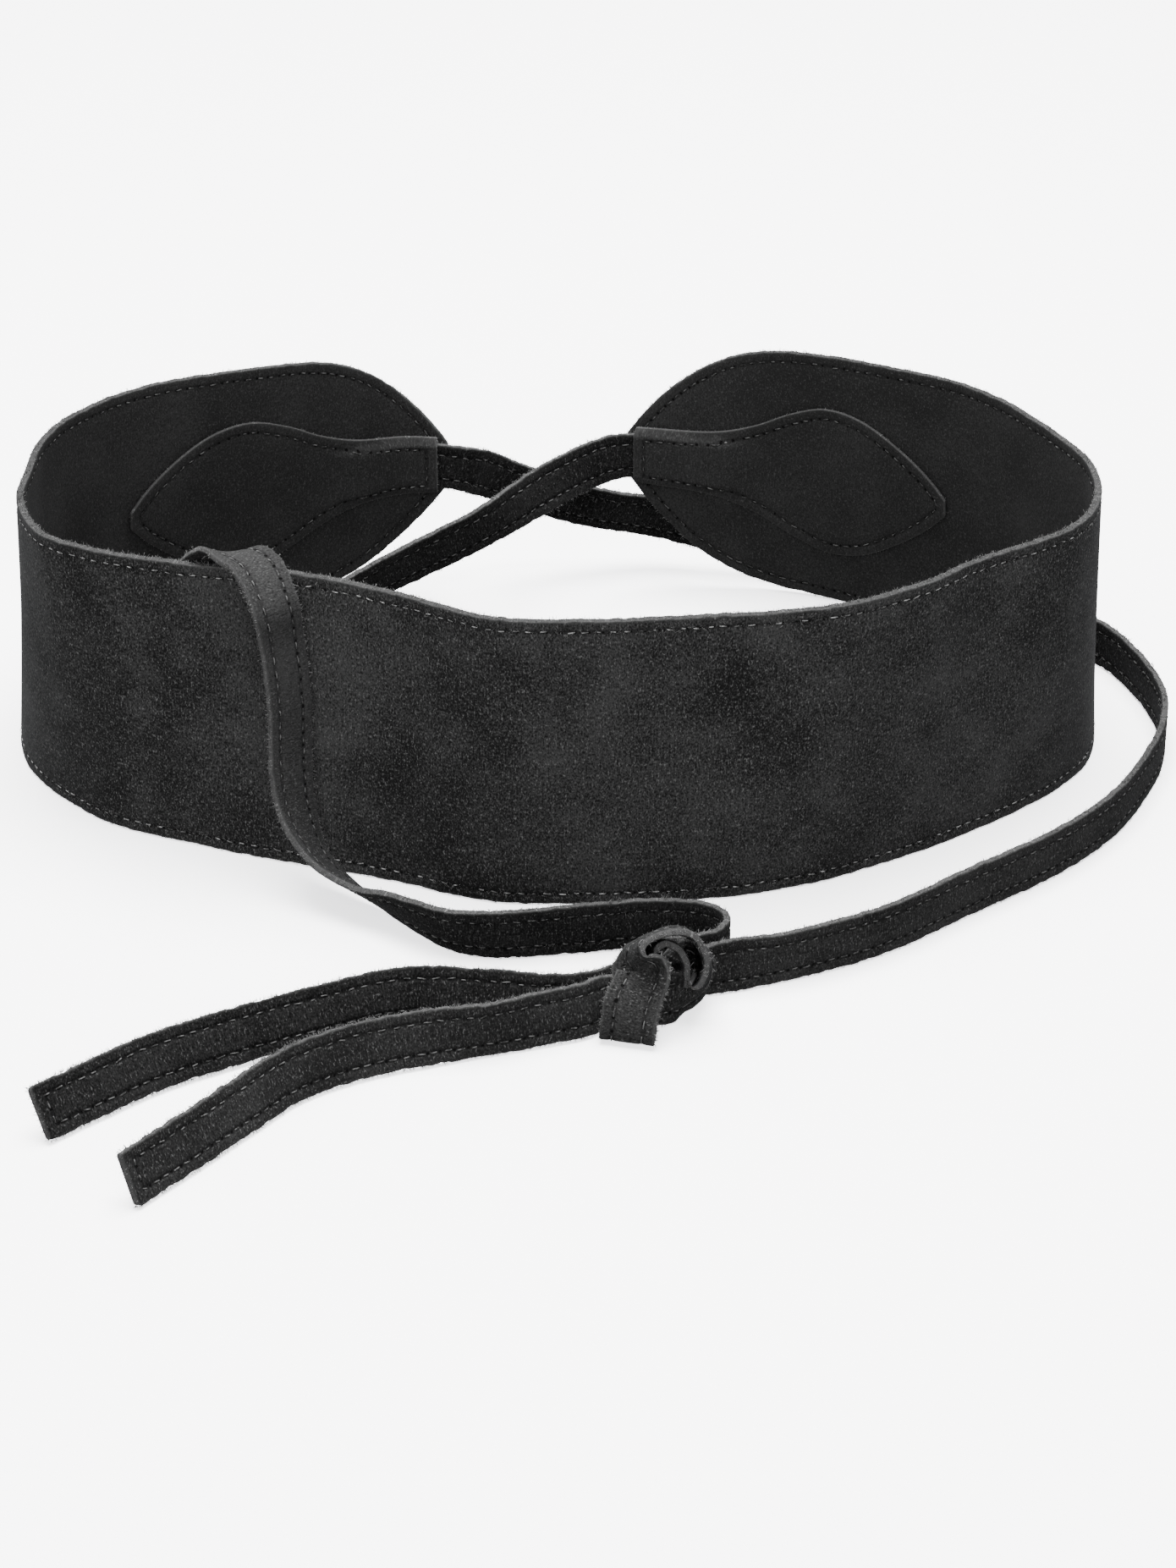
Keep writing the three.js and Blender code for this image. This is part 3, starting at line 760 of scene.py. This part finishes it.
FLOOR_GAP = 0.00002
RAGGED_DEPTH = 0.0004
RAGGED_REACH = 0.0007
LONG_BITES = (450, 60)
SHORT_BITES = (1400, 900)
MIDDLE_STRIP = 0.002
GROOVE_DEPTH = 0.00025


def above_floor(spots):
    """Keeps places from dipping into the floor."""
    spots[:, 2] = np.maximum(spots[:, 2], FLOOR_GAP)
    return spots


def groove(columns, width):
    """How deep the stitches press a groove, as a share, at each vertex."""
    return np.exp(-(((columns[:, 1] - STITCH_INSET) / width) ** 2))


def ragged(flat, columns, seed):
    """How far a torn edge falls back from its cut line across the skin, at each vertex.

    Long bites run along and across the skin, and short ones along and through it.
    """
    bites = [
        0.5
        + 0.7 * noise.noise(Vector((x * LONG_BITES[0], y * LONG_BITES[1], seed)))
        + 0.5 * noise.noise(Vector((x * SHORT_BITES[0], z * SHORT_BITES[1], seed)))
        for x, y, z in flat
    ]
    near_edge = np.exp(-((columns[:, 1] / RAGGED_REACH) ** 2))
    fall = np.clip(bites, 0, 1) * RAGGED_DEPTH * near_edge
    return fall * np.clip(flat[:, 1] / MIDDLE_STRIP, -1, 1)


def waves(flat, rows):
    """How far soft suede waves out of its flat shape, at each vertex."""
    return [
        sum(size * noise.noise(Vector((x * along, y * across, seed))) for size, along, across, seed in rows)
        for x, y, _ in flat
    ]


def lay_copies(piece, lay, material):
    """Lays flat stitches or hairs where the skin under them lies."""
    move_to(piece, above_floor(lay(spots_of(piece))))
    piece.data.materials.append(material)
    attach(piece)


# Each tie is one strap of charcoal suede with a row of stitches along both edges and square ends
# with rounded corners. The right one is painted lighter on one face where it hangs down the front, as
# painted light.
TIE_CORNER = 0.0018
TIE_GROOVE = 0.0006
TIE_CUTS = ((29, 29), (28,))
TIE_SOFT_EDGE = 0.0004
EXIT_INWARDS = 0.0026

# Columns: how far a wave stands out, how many go to a metre along and across, and its seed.
TIE_WAVES = (
    (0.00022, 300, 60, 3),
    (0.00016, 900, 900, 6),
)


def tie_half(along):
    """Half of a tie's width, which is the same all along it."""
    return np.full(len(along), TIE_WIDTH / 2)


def round_end(shaped, flat, length):
    """Pulls the corners of a tie's free end in to a small arc."""
    centre = np.array((length - TIE_CORNER, TIE_WIDTH / 2 - TIE_CORNER))
    over = np.stack([shaped[:, 0], abs(shaped[:, 1])], axis=1) - centre
    reach = np.linalg.norm(over, axis=1)
    rounded = (over.min(axis=1) > 0) & (reach > TIE_CORNER)
    pulled = centre + over * (TIE_CORNER / reach)[:, None]
    shaped[rounded, 0] = pulled[rounded, 0]
    shaped[rounded, 1] = pulled[rounded, 1] * np.sign(flat[rounded, 1])
    return shaped


# Columns: name, route, whether it starts at the right tip, and the finish of its back and where
# along the tie that lies.
for node, route, from_right, back_finish, back_run in (
    ("tie_left", LEFT_ROUTE, False, tie_brushed, (0, 1)),
    # The right tie's lighter back between these runs is painted light.
    ("tie_right", RIGHT_ROUTE, True, tie_painted_light, (0.24, 0.555)),
):
    line = tie_line(route, from_right)
    length = line[3][-1]
    lay = on_tie(line)
    strap = cut_skin(node + "_suede", length, TIE_WIDTH, TIE_THICKNESS, TIE_CUTS, TIE_SOFT_EDGE)
    flat = spots_of(strap)
    outline = outline_between(length, tie_half, 2)
    columns = seam_chart(strap, flat, outline)
    chart(strap, "skin", flat[:, :2])
    finishes = (tie_suede, back_finish, tie_edge)
    finish_piece(strap, finishes, TIE_THICKNESS, flat, columns, back_run)
    shaped = flat.copy()
    shaped[:, 2] -= np.sign(flat[:, 2]) * groove(columns, TIE_GROOVE) * GROOVE_DEPTH
    shaped[:, 1] += waves(flat, TIE_WAVES)
    shaped[:, 1] -= ragged(flat, columns, 2)
    move_to(strap, above_floor(lay(round_end(shaped, flat, length))))
    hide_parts(node)
    attach(strap)
    threads = copies(node + "_stitches", stitch, sewing(outline, TIE_THICKNESS, (1, -1)))
    lay_copies(threads, lay, black_thread)
    hairs = stray_hairs(outline, TIE_THICKNESS, each_mm=7, longest=0.0012)
    hairs += pulled_hairs(outline, TIE_THICKNESS, each_mm=0.7, longest=0.0014)
    fuzz = copies(node + "_fuzz", hair, hairs)
    lay_copies(fuzz, lay, black_hair)
    exit_at = on_wall(
        np.array([BAND_LENGTH if from_right else 0.0]),
        np.array([BAND_HEIGHT / 2]),
        np.array([-EXIT_INWARDS]),
    )[0]

# The band is the wide belt itself, two skins of suede sewn together near their edges. It narrows to
# a blunt point at both ends along a bowed outline, and stands on its lower cut edge.
TIP_HEIGHT = 0.013
TAPER_LENGTH = 0.084
TAPER_BOW = 3.5
BAND_EDGE = 0.007
BAND_GROOVE = 0.0008
BAND_CUTS = ((31, 23), (48,))
BAND_SOFT_EDGE = 0.0003
OUTLINE_POINTS = 900

# Columns: how far a wave stands out, how many go to a metre along and up, and its seed.
BAND_WAVES = (
    (0.0007, 22, 9, 5),
    (0.0004, 75, 12, 8),
)


def half_height(along):
    """Half of the band's height at a distance from its left tip."""
    from_tip = np.minimum(along, BAND_LENGTH - along)
    rise = 1 - (1 - np.clip(from_tip / TAPER_LENGTH, 0, 1)) ** TAPER_BOW
    return (TIP_HEIGHT + (BAND_HEIGHT - TIP_HEIGHT) * rise) / 2


def cut_to_shape(flat, full_half, half, edge_zone):
    """Narrows a skin to its outline. The strip along its edge keeps its width."""
    height = half(flat[:, 0])
    zone = np.minimum(edge_zone, height * 0.8)
    inside = full_half - edge_zone
    far = np.abs(flat[:, 1])
    near_edge = height - (full_half - far) * zone / edge_zone
    middle = far * (height - zone) / inside
    shaped = flat.copy()
    shaped[:, 1] = np.sign(flat[:, 1]) * np.where(far > inside, near_edge, middle)
    return shaped


def band_place(flat):
    """Lays flat places on the wall, with the slight waves of a wide soft strip."""
    outwards = flat[:, 2] + np.array(waves(flat, BAND_WAVES))
    place = on_wall(flat[:, 0], flat[:, 1] + BAND_HEIGHT / 2, outwards)
    past = np.minimum(flat[:, 0], 0) + np.maximum(flat[:, 0] - BAND_LENGTH, 0)
    slope = [np.interp(flat[:, 0], wall_run, column) for column in wall_slope.T]
    place[:, 0] += slope[0] * past
    place[:, 1] += slope[1] * past
    return place


band = cut_skin("band_suede", BAND_LENGTH, BAND_HEIGHT, BAND_WALL, BAND_CUTS, BAND_SOFT_EDGE)
flat = cut_to_shape(spots_of(band), BAND_HEIGHT / 2, half_height, BAND_EDGE)
outline = outline_between(BAND_LENGTH, half_height, OUTLINE_POINTS)
columns = seam_chart(band, flat, outline)
chart(band, "skin", flat[:, :2])
finish_piece(band, (outer_suede, inner_suede, raw_edge), BAND_WALL, flat, columns)
shaped = flat.copy()
shaped[:, 2] -= np.sign(flat[:, 2]) * groove(columns, BAND_GROOVE) * GROOVE_DEPTH
shaped[:, 1] -= ragged(flat, columns, 4)
move_to(band, above_floor(band_place(shaped)))
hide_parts("band")
attach(band)
band_threads = copies("band_stitches", stitch, sewing(outline, BAND_WALL, (1,)))
lay_copies(band_threads, band_place, grey_thread)
inner_threads = copies("band_inner_stitches", stitch, sewing(outline, BAND_WALL, (-1,)))
lay_copies(inner_threads, band_place, black_thread)
hairs = stray_hairs(outline, BAND_WALL, each_mm=7, longest=0.0011)
hairs += pulled_hairs(outline, BAND_WALL, each_mm=1.2, longest=0.0015)
band_fuzz = copies("band_fuzz", hair, hairs)
lay_copies(band_fuzz, band_place, grey_hair)

# Each patch is one leaf-shaped skin of flat black suede, sewn on the band's inner face over the end
# of its tie, which shows as a low lump. Its straight end lies at the band's tip.
PATCH_WALL = 0.0012
PATCH_START = 0.003
PATCH_LENGTH = 0.1
PATCH_HEIGHT = 0.048
PATCH_EDGE = 0.006
PATCH_GROOVE = 0.0008
PATCH_GROOVE_DEPTH = 0.0002
PATCH_CUTS = ((9, 9), (40,))
PATCH_SOFT_EDGE = 0.0004
PATCH_OUTLINE_POINTS = 300

# Columns: how far along from the straight end, and half of the width there.
PATCH_OUTLINE = [
    (0, 0.0088),
    (0.025, 0.0105),
    (0.038, 0.0145),
    (0.05, 0.0205),
    (0.061, 0.024),
    (0.072, 0.0225),
    (0.084, 0.016),
    (0.094, 0.0085),
    (0.1, 0.0025),
]
GAP = 0.0003
LIFT_SIDE = 0.0014
LIFT_START = 0.001
LIFT_RUN = 0.012
patch_line = smooth(PATCH_OUTLINE, 20)


def patch_half(along):
    """Half of the patch's width at a distance from its straight end."""
    return np.interp(along, patch_line[:, 0], patch_line[:, 1])


def smooth_step(value, low, high):
    """Goes smoothly from 0 at low to 1 at high."""
    share = np.clip((value - low) / (high - low), 0, 1)
    return share * share * (3 - 2 * share)


for node, from_right in (("patch_left", False), ("patch_right", True)):

    def patch_place(flat, from_right=from_right):
        """Lays flat places on the band's inner face, over the tie's sewn-in end."""
        from_tip = PATCH_START + flat[:, 0]
        lifted = 1 - smooth_step(from_tip, SEWN_IN[0] + LIFT_START, SEWN_IN[0] + LIFT_RUN)
        beside = np.abs(flat[:, 1]) - TIE_WIDTH / 2
        held = 1 - smooth_step(beside, SEWN_GAP, LIFT_SIDE)
        lift = (TIE_THICKNESS + SEWN_GAP + GAP) * lifted * held
        inner = BAND_WALL / 2 + GAP + PATCH_WALL / 2 + lift + flat[:, 2]
        place = BAND_LENGTH - from_tip if from_right else from_tip
        up = -flat[:, 1] if from_right else flat[:, 1]
        return on_wall(place, BAND_HEIGHT / 2 - up, -inner)

    patch = cut_skin(
        node + "_suede", PATCH_LENGTH, PATCH_HEIGHT, PATCH_WALL, PATCH_CUTS, PATCH_SOFT_EDGE
    )
    flat = cut_to_shape(spots_of(patch), PATCH_HEIGHT / 2, patch_half, PATCH_EDGE)
    outline = outline_between(PATCH_LENGTH, patch_half, PATCH_OUTLINE_POINTS)
    columns = seam_chart(patch, flat, outline)
    chart(patch, "skin", flat[:, :2])
    finish_piece(patch, (inner_suede, inner_suede, tie_edge), PATCH_WALL, flat, columns)
    shaped = flat.copy()
    outer = np.maximum(np.sign(flat[:, 2]), 0)
    shaped[:, 2] -= outer * groove(columns, PATCH_GROOVE) * PATCH_GROOVE_DEPTH
    move_to(patch, patch_place(shaped))
    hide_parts(node)
    attach(patch)
    threads = copies(node + "_stitches", stitch, sewing(outline, PATCH_WALL, (1,)))
    lay_copies(threads, patch_place, black_thread)
    hairs = stray_hairs(outline, PATCH_WALL, each_mm=3, longest=0.0008)
    fuzz = copies(node + "_fuzz", hair, hairs)
    lay_copies(fuzz, patch_place, black_hair)

# The model stitch and hair were only patterns for the copies.
bpy.data.objects.remove(stitch)
bpy.data.objects.remove(hair)

# The floor is a wide pale sheet, a hair below the belt. It glows a little so that it stays white, and
# bounced and glossy light don't see it, so that it doesn't light the belt from below.
FLOOR_SIZE = 12
FLOOR_DROP = 0.0002
FLOOR_PALE = 2.85
FLOOR_GLOW = 1.8
bpy.ops.object.select_all(action="DESELECT")
bpy.ops.mesh.primitive_plane_add(size=FLOOR_SIZE, location=(0, 0, -FLOOR_DROP))
floor = bpy.context.object
floor.name = "floor"
floor_finish = bpy.data.materials.new("pale floor")
floor_finish.use_nodes = True
floor_shader = floor_finish.node_tree.nodes["Principled BSDF"]
floor_shader.inputs["Base Color"].default_value = (FLOOR_PALE, FLOOR_PALE, FLOOR_PALE, 1)
floor_shader.inputs["Roughness"].default_value = 0.9
floor_shader.inputs["Emission Color"].default_value = (0.97, 0.97, 1.0, 1)
floor_shader.inputs["Emission Strength"].default_value = FLOOR_GLOW
floor.data.materials.append(floor_finish)
floor.visible_diffuse = False
floor.visible_glossy = False

# Two soft lamps light the belt: a strong one above and a little behind it, and a weak one in front.
# Columns: name, place, size and power.
LIGHT_AIM = (0, -0.05, 0.03)
WORLD_LIGHT = 0.4
for name, place, size, power in (
    ("top_light", (0.0, 0.2, 1.7), 1.3, 62),
    ("front_light", (-0.2, -1.8, 0.8), 1.6, 16),
):
    bpy.ops.object.light_add(type="AREA", location=place)
    light = bpy.context.object
    light.name = name
    light.data.size = size
    light.data.energy = power
    aim = Vector(LIGHT_AIM) - Vector(place)
    light.rotation_euler = aim.to_track_quat("-Z", "Y").to_euler()
world = bpy.data.worlds.new("soft studio")
bpy.context.scene.world = world
world.use_nodes = True
background = world.node_tree.nodes["Background"]
background.inputs["Color"].default_value = (1, 1, 1, 1)
background.inputs["Strength"].default_value = WORLD_LIGHT
